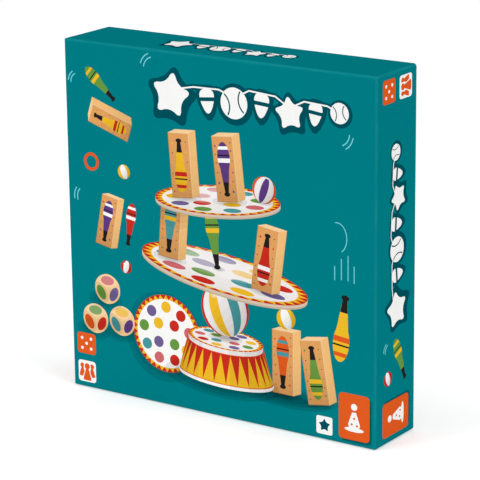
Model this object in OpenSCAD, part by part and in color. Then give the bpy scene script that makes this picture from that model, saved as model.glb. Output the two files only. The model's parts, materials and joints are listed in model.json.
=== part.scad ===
// Boxed balancing game: a telescoping card box that stands on its side edge, with a folded insert,
// three round boards, eighteen wooden blocks, three wooden dice and a stapled rule booklet inside.
// The box's front is the top of its lid and faces -Y. +Z is up, +X is right seen from the front.
// The origin is on the floor, under the middle of the box.

/* [Box] */
// Outside width of the closed box
box_w = 270; // [262:1:320]
// Outside height of the closed box as it stands
box_h = 270; // [266:1:320]
// Outside depth of the closed box, front to back
box_d = 54; // [52:1:80]
// Thickness of the greyboard
board_t = 1.6; // [1.2:0.1:1.8]
// Thickness of the printed paper glued over the greyboard
paper_t = 0.2; // [0.1:0.05:0.25]
// Width of the line scored through the greyboard at each fold
score_w = 0.05; // [0.02:0.01:0.2]
// Outside radius of the wrapped edges
edge_r = 2.4; // [0.8:0.1:3]
// Clearance between the lid's walls and the base's walls, on each side
lid_gap = 0.5; // [0.3:0.1:0.8]
// How far the lid's rim stops short of the back of the box
lid_short = 1; // [0.5:0.5:4]
// Width of the paper turned in over each rim
turn_in = 15; // [8:1:20]

/* [Corner tape] */
// Width of tape on each wall beside a corner
stay_leg = 18; // [8:1:30]
// Thickness of the tape, which is pressed into the greyboard
stay_t = 0.15; // [0.1:0.05:0.3]
// Distance of the tape's ends from the fold and from the rim
stay_margin = 4; // [2:1:8]

/* [Insert] */
// Thickness of the folded card
card_t = 1; // [0.6:0.1:1.2]
// Clearance round the insert inside the base
insert_gap = 0.4; // [0.2:0.1:1]
// Clearance beside the blocks in the wide trough, on each side
trough_gap = 0.7; // [0.4:0.1:2]
// Clearance beside the dice in the narrow trough, on each side
die_gap = 1; // [0.5:0.1:3]
// Width of the deck between the two troughs
middle_deck = 26.5; // [8:0.5:30]
// Radius of the two finger notches beside the wide trough
notch_r = 12; // [6:0.5:15]

/* [Blocks] */
// Length of a block
block_l = 85; // [60:1:85]
// Width of a block
block_w = 32; // [24:0.5:32]
// Thickness of a block
block_t = 18; // [12:0.5:18]
// Radius of a block's eased edges
block_r = 1.5; // [0.5:0.1:3]

/* [Dice] */
// Side of a die
die_a = 25; // [16:0.5:28]
// Diameter of the ball that rounds off a die's corners
die_ball = 32; // [28:0.5:36]

/* [Boards] */
// Diameter of a round board
disc_d = 230; // [200:1:240]
// Thickness of a board's greyboard core
core_t = 2.1; // [1.5:0.1:2.2]
// Thickness of the printed sheet on each face of a board
print_t = 0.2; // [0.1:0.05:0.25]

/* [Rules] */
// Width of the closed booklet
rules_w = 148; // [105:1:200]
// Height of the closed booklet
rules_h = 210; // [148:1:230]
// Thickness of the booklet's cover sheet
cover_t = 0.25; // [0.15:0.05:0.3]
// Thickness of the stack of inner pages
pages_t = 0.7; // [0.4:0.1:0.8]
// Diameter of the staple wire
staple_d = 0.5; // [0.4:0.05:0.6]
// Length of a staple's back
staple_l = 12; // [8:0.5:16]
// Length of a staple's legs
staple_leg = 3; // [2:0.25:5]
// Distance between the two staples
staple_pitch = 118; // [60:1:120]

/* [Packing] */
// Gap between loose pieces that lie side by side or on each other
loose = 0.3; // [0.2:0.05:0.4]

/* [Hidden] */
$fn = 48;
PIECE_ROWS = 3;
PIECE_COLUMNS = 3;
PIECE_LAYERS = 2;
BLOCKS = PIECE_ROWS * PIECE_COLUMNS * PIECE_LAYERS;
DICE = 3;
BOARDS = 3;
cut = 1; // how far a cutting shape runs past what it cuts

// Box planes along Y, from the front face to the back
wall = board_t + paper_t;
front_y = -box_d / 2;
back_y = box_d / 2;
lid_in_y = front_y + wall;
lid_rim_y = back_y - lid_short;
base_rim_y = lid_in_y + lid_gap;
base_floor_y = back_y - wall;

// Base outline, inside the lid's turned-in paper
shrink = 2 * (wall + paper_t + lid_gap);
base_w = box_w - shrink;
base_h = box_h - shrink;
base_in_w = base_w - 2 * wall;
base_in_h = base_h - 2 * wall;
mid_z = box_h / 2;
// Lowest place inside the base, on its turned-in paper
stand_z = mid_z - base_in_h / 2 + paper_t + loose;

// Insert and its troughs
insert_w = base_in_w - 2 * paper_t - 2 * insert_gap;
insert_h = base_in_h - 2 * paper_t - 2 * insert_gap;
insert_back_y = base_floor_y - loose / 2;
trough_floor_y = insert_back_y - card_t;
trough_w = PIECE_COLUMNS * block_w + (PIECE_COLUMNS - 1) * loose + 2 * trough_gap;
die_trough_w = die_a + 2 * die_gap;
die_x = trough_w / 2 + middle_deck + die_trough_w / 2;
stack_front_y = trough_floor_y - PIECE_LAYERS * (block_t + loose);
deck_y = stack_front_y - loose / 2;

// Boards and booklet lie in front of the insert
disc_t = core_t + 2 * print_t;
rules_t = pages_t + 2 * cover_t;
rules_back_y = deck_y - loose - BOARDS * (disc_t + loose);

function two(i) = i < 10 ? str("0", i) : str(i);
BLOCK_NODES = [for (i = [1:BLOCKS]) str("block_", two(i))];
DIE_NODES = [for (i = [1:DICE]) str("die_", i)];

TEAL = [0.0, 0.49, 0.51];
GREYBOARD = [0.55, 0.49, 0.42];
KRAFT = [0.72, 0.56, 0.38];
CARD = [0.93, 0.92, 0.88];
PAPER = [0.96, 0.95, 0.92];
STEEL = [0.75, 0.76, 0.78];
BEECH = [0.87, 0.68, 0.44];
DIE_WOOD = [0.90, 0.72, 0.52];

// A rectangle with round corners, about its own centre
module round_rect(a, b, r) {
    square([a - 2 * r, b], center = true);
    square([a, b - 2 * r], center = true);
    for (x = [-1, 1], y = [-1, 1])
        translate([x * (a / 2 - r), y * (b / 2 - r)]) circle(r);
}

// A box with all its edges rounded, about its own centre: w along X, d along Y, h along Z
module round_box(w, d, h, r) {
    intersection() {
        linear_extrude(h, center = true) round_rect(w, d, r);
        rotate([90, 0, 0]) linear_extrude(d, center = true) round_rect(w, h, r);
        rotate([0, 90, 0]) linear_extrude(w, center = true) round_rect(h, d, r);
    }
}

// A block of space from y0 to y1, w wide and h high, about the box's middle axis
module bay(w, h, y0, y1) {
    translate([-w / 2, y0, mid_z - h / 2]) cube([w, y1 - y0, h]);
}

// A wall ring from y0 to y1, t thick, whose outside is w by h
module ring(w, h, y0, y1, t) {
    difference() {
        bay(w, h, y0, y1);
        bay(w - 2 * t, h - 2 * t, y0 - cut, y1 + cut);
    }
}

// One open tray before it is turned round: its panel's outside is at y = 0 and its rim at y = depth
module tray_outside(w, h, depth, r) {
    intersection() {
        translate([0, depth, mid_z]) round_box(w, 2 * depth, h, r);
        bay(w + cut, h + cut, -cut, depth);
    }
}

// The panel and the four walls of a tray, t thick, as flat pieces with a scored line between them
module flat_panels(w, h, depth, t) {
    side_y = (t + score_w + depth) / 2;
    side_l = depth - t - score_w;
    bay(w, h, 0, t);
    for (x = [-1, 1])
        translate([x * (w - t) / 2, side_y, mid_z]) cube([t, side_l, h], center = true);
    for (z = [-1, 1])
        translate([0, side_y, mid_z + z * (h - t) / 2]) cube([w - 2 * t - 2 * score_w, side_l, t], center = true);
}

// Greyboard tray of outside w by h, scored and folded, whose paper stands outside it
module board_tray(w, h, depth) {
    difference() {
        intersection() {
            translate([0, depth, mid_z])
                round_box(w - 2 * paper_t, 2 * (depth - paper_t), h - 2 * paper_t, edge_r - paper_t);
            flat_panels(w, h, depth - paper_t, wall);
        }
        corner_bands(w, h, depth, cut);
    }
}

// Printed paper glued round a tray and turned in over its rim
module wrap_tray(w, h, depth) {
    mouth_w = w - 2 * wall;
    mouth_h = h - 2 * wall;
    difference() {
        tray_outside(w, h, depth, edge_r);
        intersection() {
            translate([0, depth + cut, mid_z])
                round_box(w - 2 * paper_t, 2 * (depth + cut - paper_t), h - 2 * paper_t, edge_r - paper_t);
            bay(w, h, 0, depth - paper_t);
        }
        bay(mouth_w, mouth_h, depth - turn_in, depth + cut);
    }
    ring(mouth_w, mouth_h, depth - turn_in, depth, paper_t);
}

// Bands round the four corners of a tray, sunk into its greyboard by the tape's thickness and standing
// out of it by proud: 0 gives the paper tape itself, and more gives the pocket pressed for it
module corner_bands(w, h, depth, proud) {
    out_w = w - 2 * paper_t;
    out_h = h - 2 * paper_t;
    r = edge_r - paper_t;
    translate([0, depth - paper_t - stay_margin, mid_z]) rotate([90, 0, 0])
        linear_extrude(depth - paper_t - 2 * stay_margin - edge_r) intersection() {
            difference() {
                round_rect(out_w + 2 * proud, out_h + 2 * proud, r + proud);
                round_rect(out_w - 2 * stay_t, out_h - 2 * stay_t, r - stay_t);
            }
            for (x = [-1, 1], z = [-1, 1])
                translate([x * out_w / 2, z * out_h / 2]) square(2 * stay_leg, center = true);
        }
}

// The lid opens to the back, the base to the front
module as_lid() {
    translate([0, front_y, 0]) children();
}
module as_base() {
    translate([0, back_y, 0]) mirror([0, 1, 0]) children();
}
lid_depth = lid_rim_y - front_y;
base_depth = back_y - base_rim_y;

module lid_wrap() {
    color(TEAL) as_lid() wrap_tray(box_w, box_h, lid_depth);
}
module lid_board() {
    color(GREYBOARD) as_lid() board_tray(box_w, box_h, lid_depth);
}
module lid_corner_stays() {
    color(KRAFT) as_lid() corner_bands(box_w, box_h, lid_depth, 0);
}
module base_wrap() {
    color(TEAL) as_base() wrap_tray(base_w, base_h, base_depth);
}
module base_board() {
    color(GREYBOARD) as_base() board_tray(base_w, base_h, base_depth);
}
module base_corner_stays() {
    color(KRAFT) as_base() corner_bands(base_w, base_h, base_depth, 0);
}

// A strip of the insert's folded outline, from corner a to corner b in the XY plane
module strip(a, b) {
    translate([min(a[0], b[0]), min(a[1], b[1])]) square([abs(b[0] - a[0]), abs(b[1] - a[1])]);
}

// The insert's outline: skirt, deck, wide trough, deck, narrow trough, deck, skirt
module insert_outline() {
    half = insert_w / 2;
    trough = trough_w / 2;
    die_near = die_x - die_trough_w / 2;
    die_far = die_x + die_trough_w / 2;
    deck_back = deck_y + card_t;
    strip([-half, deck_y], [-half + card_t, insert_back_y]);
    strip([-half, deck_y], [-trough, deck_back]);
    strip([-trough - card_t, deck_y], [-trough, insert_back_y]);
    strip([-trough - card_t, trough_floor_y], [trough + card_t, insert_back_y]);
    strip([trough, deck_y], [trough + card_t, insert_back_y]);
    strip([trough, deck_y], [die_near, deck_back]);
    strip([die_near - card_t, deck_y], [die_near, insert_back_y]);
    strip([die_near - card_t, trough_floor_y], [die_far + card_t, insert_back_y]);
    strip([die_far, deck_y], [die_far + card_t, insert_back_y]);
    strip([die_far, deck_y], [half, deck_back]);
    strip([half - card_t, deck_y], [half, insert_back_y]);
}

// One finger notch, cut through the deck and down the wall of the wide trough at height z
module finger_notch(side, z) {
    x = side * (trough_w / 2 + card_t / 2);
    translate([x, deck_y + card_t / 2, z]) rotate([90, 0, 0])
        cylinder(h = card_t + cut, r = notch_r, center = true);
    translate([x, deck_y, z]) rotate([0, 90, 0])
        cylinder(h = card_t + cut, r = notch_r, center = true);
}

module insert_tray() {
    color(CARD) difference() {
        translate([0, 0, mid_z - insert_h / 2]) linear_extrude(insert_h) insert_outline();
        for (side = [-1, 1]) finger_notch(side, block_z((PIECE_ROWS - 1) / 2));
    }
}

// Places of the pieces in the wide trough. Row 0 is the lowest, column 0 the left, layer 0 the back.
function block_x(column) = (column - (PIECE_COLUMNS - 1) / 2) * (block_w + loose);
function block_y(layer) = trough_floor_y - loose - block_t / 2 - layer * (block_t + loose);
function block_z(row) = stand_z + block_l / 2 + row * (block_l + loose);

// Block i of BLOCKS: the first nine are the front layer, the others the back layer
module block(i) {
    layer = i < BLOCKS / PIECE_LAYERS ? 1 : 0;
    place = i % (BLOCKS / PIECE_LAYERS);
    color(BEECH)
        translate([block_x(place % PIECE_COLUMNS), block_y(layer), block_z(floor(place / PIECE_COLUMNS))])
            round_box(block_w, block_t, block_l, block_r);
}

// Die i of DICE, standing on each other at the bottom of the narrow trough
module die(i) {
    color(DIE_WOOD)
        translate([die_x, trough_floor_y - loose - die_a / 2, stand_z + die_a / 2 + i * (die_a + loose)])
            intersection() {
                cube(die_a, center = true);
                sphere(d = die_ball);
            }
}

// Front plane of board i, counted from the front
function board_front_y(i) = rules_back_y + loose + i * (disc_t + loose);

// A round sheet of a board, t thick, whose front plane is at y
module sheet_disc(y, t) {
    translate([0, y + t, stand_z + disc_d / 2]) rotate([90, 0, 0]) cylinder(h = t, d = disc_d, $fn = 96);
}
module board_face(i) {
    color(PAPER) sheet_disc(board_front_y(i), print_t);
}
module board_core(i) {
    color(GREYBOARD) sheet_disc(board_front_y(i) + print_t, core_t);
}
module board_back(i) {
    color(PAPER) sheet_disc(board_front_y(i) + print_t + core_t, print_t);
}

// The booklet's cover is one sheet folded round the pages at the left edge
module rules_cover() {
    color(TEAL) translate([-rules_w / 2, rules_back_y - rules_t, stand_z]) difference() {
        cube([rules_w, rules_t, rules_h]);
        translate([cover_t, cover_t, -cut]) cube([rules_w, pages_t, rules_h + 2 * cut]);
        staple_wires();
    }
}
module rules_pages() {
    color(PAPER) translate([-rules_w / 2, rules_back_y - rules_t, stand_z]) difference() {
        translate([cover_t, cover_t, 0]) cube([rules_w - 2 * cover_t, pages_t, rules_h]);
        staple_wires();
    }
}

// Two staples through the fold, half sunk in the spine, for a booklet whose corner is at the origin
module staple_wires() {
    for (side = [-1, 1])
        translate([staple_d / 4, rules_t / 2, (rules_h + side * staple_pitch) / 2]) {
            cylinder(h = staple_l, d = staple_d, center = true, $fn = 24);
            for (end = [-1, 1])
                translate([0, 0, end * (staple_l - staple_d) / 2]) rotate([0, 90, 0])
                    cylinder(h = staple_leg, d = staple_d, $fn = 24);
        }
}
module rules_staples() {
    color(STEEL) translate([-rules_w / 2, rules_back_y - rules_t, stand_z]) staple_wires();
}

lid_wrap();
lid_board();
lid_corner_stays();
base_wrap();
base_board();
base_corner_stays();
insert_tray();
rules_cover();
rules_pages();
rules_staples();
for (i = [0:BOARDS - 1]) {
    board_face(i);
    board_core(i);
    board_back(i);
}
for (i = [0:BLOCKS - 1])
    block(i);
for (i = [0:DICE - 1])
    die(i);
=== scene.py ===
# %% [markdown]
# This lesson dresses a boxed balancing game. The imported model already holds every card, paper and wooden
# piece at its real size, so the work here is finish: printed paper, raw greyboard, beech, and the inks of
# every print. The frame is loaded first, because every place below is measured from it.

# %% Load the frame
import json
import math

import bpy
from mathutils import Matrix, Vector
from mathutils.geometry import delaunay_2d_cdt

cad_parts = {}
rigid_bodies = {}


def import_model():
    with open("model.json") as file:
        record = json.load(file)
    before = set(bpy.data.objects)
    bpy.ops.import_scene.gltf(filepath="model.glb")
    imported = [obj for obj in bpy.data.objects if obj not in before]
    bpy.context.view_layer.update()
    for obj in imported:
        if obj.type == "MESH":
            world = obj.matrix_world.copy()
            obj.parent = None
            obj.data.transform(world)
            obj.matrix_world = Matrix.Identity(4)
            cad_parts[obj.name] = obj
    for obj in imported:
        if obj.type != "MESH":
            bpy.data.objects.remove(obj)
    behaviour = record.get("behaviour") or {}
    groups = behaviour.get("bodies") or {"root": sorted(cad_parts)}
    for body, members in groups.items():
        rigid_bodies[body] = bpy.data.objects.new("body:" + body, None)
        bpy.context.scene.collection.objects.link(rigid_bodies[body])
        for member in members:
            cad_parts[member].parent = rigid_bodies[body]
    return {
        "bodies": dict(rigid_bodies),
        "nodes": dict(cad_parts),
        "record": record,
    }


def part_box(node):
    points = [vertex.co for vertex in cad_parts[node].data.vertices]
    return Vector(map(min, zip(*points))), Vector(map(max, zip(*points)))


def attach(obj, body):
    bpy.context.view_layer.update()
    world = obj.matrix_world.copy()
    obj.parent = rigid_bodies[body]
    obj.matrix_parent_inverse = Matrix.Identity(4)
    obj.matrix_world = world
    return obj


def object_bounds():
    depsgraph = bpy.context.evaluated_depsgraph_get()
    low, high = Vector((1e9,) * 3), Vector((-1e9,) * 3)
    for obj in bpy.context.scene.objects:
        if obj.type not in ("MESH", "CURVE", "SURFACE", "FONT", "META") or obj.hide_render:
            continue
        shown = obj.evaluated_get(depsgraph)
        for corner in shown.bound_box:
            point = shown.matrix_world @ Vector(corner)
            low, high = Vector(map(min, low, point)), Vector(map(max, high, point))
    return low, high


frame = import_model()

cad_low, cad_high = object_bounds()
NODES = frame["nodes"]
MM = 0.001
scene = bpy.context.scene

# %% [markdown]
# A product photograph is taken from far away with a long lens, which keeps upright edges nearly parallel.
# The turn, the height, the roll and the distance were found by fitting the corners of the box.
#
# A camera could be aimed by Euler angles or by a constraint. Here its matrix is built from three axes,
# which shows what a camera is: it looks along its own -Z, with +X to its right and +Y up.

# %% Camera
CAMERA_TURN = math.radians(34.36)
CAMERA_HEIGHT = math.radians(15.69)
CAMERA_ROLL = math.radians(-0.646)
CAMERA_DISTANCE = 1.7683
CAMERA_ASIDE = 0.0021
CAMERA_ABOVE = -0.0061
LENS_MM = 181.3
SENSOR_MM = 36

box_middle = Vector((0, 0, cad_high.z / 2))
back = Vector((math.sin(CAMERA_TURN) * math.cos(CAMERA_HEIGHT),
               -math.cos(CAMERA_TURN) * math.cos(CAMERA_HEIGHT),
               math.sin(CAMERA_HEIGHT)))
level = Vector((math.cos(CAMERA_TURN), math.sin(CAMERA_TURN), 0))
upward = back.cross(level)
right = math.cos(CAMERA_ROLL) * level + math.sin(CAMERA_ROLL) * upward
upright = -math.sin(CAMERA_ROLL) * level + math.cos(CAMERA_ROLL) * upward
camera = bpy.data.objects.new("camera", bpy.data.cameras.new("camera"))
camera.data.lens = LENS_MM
camera.data.sensor_width = SENSOR_MM
place = Matrix((right, upright, back)).transposed().to_4x4()
place.translation = box_middle + back * CAMERA_DISTANCE + right * CAMERA_ASIDE + upright * CAMERA_ABOVE
camera.matrix_world = place
scene.collection.objects.link(camera)
scene.camera = camera
print("camera at", [round(v, 3) for v in place.translation])

# %% [markdown]
# A material, a world and a shared effect are all trees of nodes. Wiring a node takes several lines, and
# each tree below has many, so four helpers do the usual steps: add a node with all that goes into it,
# calculate, stretch one range of numbers to another, and mix two colours.

# %% Node helpers
def feed(tree, socket, value):
    """Gives a socket a plain value, or links another node's output to it."""
    if isinstance(value, bpy.types.NodeSocket):
        tree.links.new(value, socket)
    else:
        socket.default_value = value


def add(tree, kind, sockets=None, **settings):
    """Adds a node. Its sockets are given by name or by number."""
    made = tree.nodes.new("ShaderNode" + kind)
    for name, value in settings.items():
        setattr(made, name, value)
    for name, value in (sockets or {}).items():
        feed(tree, made.inputs[name], value)
    return made


def maths(tree, operation, a, b=0.0):
    return add(tree, "Math", {0: a, 1: b}, operation=operation).outputs[0]


def remap(tree, value, low, high, to_low, to_high):
    sockets = {"Value": value, "From Min": low, "From Max": high, "To Min": to_low, "To Max": to_high}
    return add(tree, "MapRange", sockets).outputs[0]


def mixed(tree, factor, a, b):
    """Colour a where factor is 0 and colour b where it is 1. Sockets 6 and 7 are the node's colours."""
    return add(tree, "Mix", {0: factor, 6: a, 7: b}, data_type="RGBA").outputs[2]


def srgb(r, g, b):
    """A colour as a paint program shows it, turned into the linear numbers that a shader uses."""
    linear = [v / 255 / 12.92 if v <= 10 else ((v / 255 + 0.055) / 1.055) ** 2.4 for v in (r, g, b)]
    return (*linear, 1.0)


WHITE = srgb(255, 255, 255)
BLACK = srgb(0, 0, 0)
print("middle grey, 128 of 255, is", round(srgb(128, 128, 128)[0], 3), "in linear light")

# %% [markdown]
# The backdrop is plain white. A white world would also flood the box with light, so the world is white only
# where it is seen, straight from the camera, in a reflection or through something clear, and dimmer for the
# light that falls on the box. The Light Path node tells those rays apart. The Standard view transform keeps
# a colour about as it is written.

# %% World
WORLD_LIGHT = 0.365


def seen_rays(tree):
    """1 for a ray that shows the backdrop: from the camera, by a reflection, or through glass."""
    path = add(tree, "LightPath").outputs
    shown = maths(tree, "MAXIMUM", path["Is Camera Ray"], path["Is Glossy Ray"])
    return maths(tree, "MAXIMUM", shown, path["Is Transmission Ray"])


def studio_world():
    world = bpy.data.worlds.new("studio")
    world.use_nodes = True
    tree = world.node_tree
    tree.nodes.clear()
    around = add(tree, "Background", {"Color": WHITE, "Strength": WORLD_LIGHT}).outputs[0]
    behind = add(tree, "Background", {"Color": WHITE, "Strength": 1.0}).outputs[0]
    chosen = add(tree, "MixShader", {0: seen_rays(tree), 1: around, 2: behind}).outputs[0]
    add(tree, "OutputWorld", {"Surface": chosen})
    return world


scene.view_settings.view_transform = "Standard"
scene.world = studio_world()
print("the world lights the box at", WORLD_LIGHT)

# %% [markdown]
# A floor that vanished into the backdrop would lose the box's shadow, and one that only caught light would
# look grey. So it is painted a little under white, and a glow that only the seen rays meet lifts it to
# white, while the shadow stays. It is clear from below, so that the box can be looked at from there too. It
# also lets light up where the box touches it, which a ray's short length tells, or the underside would be
# black.

# %% Floor
FLOOR_PAINT = 0.8
SEEN_PAINT = 0.9
FLOOR_GLOW = 0.36
CONTACT = 1 * MM
FLOOR_REACH = 0.8
FLOOR_Z = -0.1 * MM


def floor_finish():
    material = bpy.data.materials.new("studio_floor")
    material.use_nodes = True
    tree = material.node_tree
    tree.nodes.clear()
    seen = seen_rays(tree)
    tone = remap(tree, seen, 0.0, 1.0, FLOOR_PAINT, SEEN_PAINT)
    paint = add(tree, "BsdfDiffuse", {"Color": tone}).outputs[0]
    strength = maths(tree, "MULTIPLY", seen, FLOOR_GLOW)
    glow = add(tree, "Emission", {"Color": WHITE, "Strength": strength}).outputs[0]
    both = add(tree, "AddShader", {0: paint, 1: glow}).outputs[0]
    clear = add(tree, "BsdfTransparent").outputs[0]
    underside = add(tree, "NewGeometry").outputs["Backfacing"]
    touching = maths(tree, "LESS_THAN", add(tree, "LightPath").outputs["Ray Length"], CONTACT)
    open_below = maths(tree, "MAXIMUM", underside, touching)
    sided = add(tree, "MixShader", {0: open_below, 1: both, 2: clear}).outputs[0]
    add(tree, "OutputMaterial", {"Surface": sided})
    return material


floor_mesh = bpy.data.meshes.new("floor")
corners = [(x * FLOOR_REACH, y * FLOOR_REACH, FLOOR_Z) for x, y in ((-1, -1), (1, -1), (1, 1), (-1, 1))]
floor_mesh.from_pydata(corners, [], [(0, 1, 2, 3)])
floor_mesh.materials.append(floor_finish())
floor = bpy.data.objects.new("floor", floor_mesh)
scene.collection.objects.link(floor)
print("floor:", 2 * FLOOR_REACH, "m square")

# %% [markdown]
# Five large area lamps light the box. The key and the fill stand low at the front left and the right, and
# leave a soft shadow beside each side wall. Two weak ones above tone the top, and one behind lifts the
# back. Lamps could be moved by eye until the picture is right. Here each was first rendered alone, and then
# their powers were fitted together, so that every face and shadow has its tone.

# %% Lamps
LAMPS = {
    "key": ((-2.4, -4.2, 1.0), 2.0, 110),
    "fill": ((4.8, -1.2, 1.1), 2.4, 103),
    "top_right": ((1.0, 0.0, 4.3), 1.8, 36),
    "top_left": ((-0.9, -0.8, 4.2), 1.6, 21),
    "back": ((-3.2, 3.6, 0.9), 2.4, 63),
}


def lamp(name, position, size, power):
    """A square area lamp, its size in metres and its power in watts, that faces the middle of the box."""
    data = bpy.data.lights.new(name, "AREA")
    data.size = size
    data.energy = power
    made = bpy.data.objects.new(name, data)
    made.location = position
    made.rotation_mode = "QUATERNION"
    made.rotation_quaternion = (Vector(position) - box_middle).to_track_quat("Z", "Y")
    scene.collection.objects.link(made)


for name, (position, size, power) in LAMPS.items():
    lamp(name, position, size, power)
print("lamps:", ", ".join(LAMPS))

# %% [markdown]
# Printed paper, its paler edges and wood grain appear on many pieces, so each is a node group: a small
# recipe with named inputs that is placed in every material that needs it. The paler edges are partly wear
# and partly a painted highlight. A group hands out colours, masks and heights, and the shader itself stays
# in the material.

# %% Group helpers
def new_group(name, inputs, outputs):
    """inputs and outputs are {socket name: kind}, where a kind is Color, Float or Vector."""
    group = bpy.data.node_groups.new(name, "ShaderNodeTree")
    for direction, sockets in (("INPUT", inputs), ("OUTPUT", outputs)):
        for title, kind in sockets.items():
            group.interface.new_socket(title, in_out=direction, socket_type="NodeSocket" + kind)
    return group, group.nodes.new("NodeGroupInput").outputs, group.nodes.new("NodeGroupOutput").inputs


def use(tree, group, sockets):
    """Places a group in a material's tree and returns its outputs."""
    return add(tree, "Group", sockets, node_tree=group).outputs


def noise(tree, point, scale, detail):
    return add(tree, "TexNoise", {"Vector": point, "Scale": scale, "Detail": detail}).outputs["Fac"]


print("node groups so far:", len(bpy.data.node_groups))

# %% [markdown]
# Paper is never one flat colour: fibres make a fine speckle, and the sheet clouds a little over a few
# centimetres. A picture of paper would repeat on a sheet this large, so two noises make both. The group
# works in real sizes, because its coordinates are metres.

# %% Paper fibre
FIBRE_SCALE = 2400.0
CLOUD_SCALE = 22.0


def make_paper_fibre():
    tree, given, out = new_group(
        "paper_fibre", {"Colour": "Color", "Mottle": "Float"}, {"Colour": "Color", "Height": "Float"})
    point = add(tree, "TexCoord").outputs["Object"]
    fibre = noise(tree, point, FIBRE_SCALE, 3.0)
    cloud = noise(tree, point, CLOUD_SCALE, 2.0)
    both = maths(tree, "SUBTRACT", maths(tree, "ADD", fibre, cloud), 1.0)
    shade = maths(tree, "ADD", maths(tree, "MULTIPLY", both, given["Mottle"]), 1.0)
    tinted = add(tree, "VectorMath", {"Vector": given["Colour"], "Scale": shade}, operation="SCALE")
    feed(tree, out["Colour"], tinted.outputs[0])
    feed(tree, out["Height"], fibre)
    return tree


paper_fibre = make_paper_fibre()
print("group:", paper_fibre.name)

# %% [markdown]
# A wrapped box first wears along its folds, where the print thins and the pale paper shows. Its rounded
# folds also catch the light, so the paler line here is partly wear and partly a painted highlight. It could
# be painted on by hand, but arithmetic finds the folds at any size. On a box-shaped piece a fold is where
# two of the three distances to its faces are small at once, so the middle one of the three says how near it
# is. A noise breaks the line up, as handling does.

# %% Edge wear and painted highlight
EDGE_WEAR_AND_HIGHLIGHT_SCALE = 90.0
EDGE_WEAR_AND_HIGHLIGHT_NOISE = (0.35, 0.75)
EDGE_WEAR_AND_HIGHLIGHT_STRENGTH = (0.35, 1.0)


# This mask lightens the folds for two causes: real wear, and a painted highlight where the round folds catch
# light.
def make_edge_wear_and_highlight():
    tree, given, out = new_group(
        "edge_wear_and_highlight", {"Centre": "Vector", "Half Size": "Vector", "Reach": "Float"}, {"Mask": "Float"})
    point = add(tree, "TexCoord").outputs["Object"]
    offset = add(tree, "VectorMath", {0: point, 1: given["Centre"]}, operation="SUBTRACT").outputs[0]
    offset = add(tree, "VectorMath", {0: offset}, operation="ABSOLUTE").outputs[0]
    inset = add(tree, "VectorMath", {0: given["Half Size"], 1: offset}, operation="SUBTRACT").outputs[0]
    a, b, c = add(tree, "SeparateXYZ", {0: inset}).outputs
    nearer = maths(tree, "MINIMUM", a, b)
    further = maths(tree, "MINIMUM", maths(tree, "MAXIMUM", a, b), c)
    second = maths(tree, "MAXIMUM", nearer, further)
    line = maths(tree, "SUBTRACT", 1.0, maths(tree, "DIVIDE", second, given["Reach"]))
    line = add(tree, "Clamp", {"Value": line}).outputs[0]
    broken = remap(tree, noise(tree, point, EDGE_WEAR_AND_HIGHLIGHT_SCALE, 5.0), *EDGE_WEAR_AND_HIGHLIGHT_NOISE, *EDGE_WEAR_AND_HIGHLIGHT_STRENGTH)
    feed(tree, out["Mask"], maths(tree, "MULTIPLY", line, broken))
    return tree


edge_wear_and_highlight = make_edge_wear_and_highlight()
print("group:", edge_wear_and_highlight.name)

# %% [markdown]
# Beech has faint growth rings seen lengthways as long stripes, and short brown flecks. A picture of a plank
# would make all the blocks alike. Here the rings are a wave round an axis that lies outside the pieces,
# bent by noise and stretched along the grain, and the flecks are a noise drawn out into short dashes. Since
# the coordinates are the frame's, each block gets its own wood.

# %% Beech
RING_SHIFT = (0.17, 0.11, 0)
RING_STRETCH = (1, 1, 0.09)
RING_SCALE = 19.0
RING_DEPTH = 0.55
FLECK_STRETCH = (1, 1, 0.16)
FLECK_SCALE = 1500.0
FLECK_NOISE = (0.56, 0.72)
FLECK_DEPTH = 0.55


def make_beech_grain():
    tree, given, out = new_group(
        "beech_grain", {"Light": "Color", "Dark": "Color"}, {"Colour": "Color", "Height": "Float"})
    point = add(tree, "TexCoord").outputs["Object"]
    along = add(tree, "Mapping", {"Vector": point, "Location": RING_SHIFT, "Scale": RING_STRETCH}).outputs[0]
    wave = {"Vector": along, "Scale": RING_SCALE, "Distortion": 5.0, "Detail": 3.0, "Detail Scale": 1.3}
    rings = add(tree, "TexWave", wave, wave_type="RINGS", rings_direction="Z").outputs["Fac"]
    dashes = add(tree, "Mapping", {"Vector": point, "Scale": FLECK_STRETCH}).outputs[0]
    fleck = remap(tree, noise(tree, dashes, FLECK_SCALE, 1.0), *FLECK_NOISE, 0.0, FLECK_DEPTH)
    tone = maths(tree, "ADD", maths(tree, "MULTIPLY", rings, RING_DEPTH), fleck)
    feed(tree, out["Colour"], mixed(tree, tone, given["Light"], given["Dark"]))
    feed(tree, out["Height"], maths(tree, "SUBTRACT", 1.0, tone))
    return tree


beech_grain = make_beech_grain()
print("group:", beech_grain.name)

# %% [markdown]
# Each sheet is a Principled shader whose colour and faint bump come from the paper fibre group. The printed
# wrap shows no highlight in the photograph, so print has no gloss here. Raw greyboard, card and the
# booklet's pages have a little, and theirs is uneven, because handling smooths what stands high.

# %% Paper and card
TEAL = srgb(1, 125, 133)
INK_WHITE = srgb(250, 250, 248)
# Paler teal for the folds: worn paper, and a painted highlight where the rounded fold catches the light.
WORN_AND_LIT_TEAL = srgb(34, 143, 148)
EDGE_WEAR_AND_HIGHLIGHT_REACH = 2.0 * MM
SATIN = 0.45
MATT = 0.85
UNEVEN = 0.1
HEIGHT_SPAN = (0.3, 0.7)
FIBRE_BUMP = 0.02 * MM


def new_material(name, roughness, gloss):
    material = bpy.data.materials.new(name)
    material.use_nodes = True
    shader = material.node_tree.nodes["Principled BSDF"]
    shader.inputs["Roughness"].default_value = roughness
    shader.inputs["Specular IOR Level"].default_value = gloss
    return material, material.node_tree, shader


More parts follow.
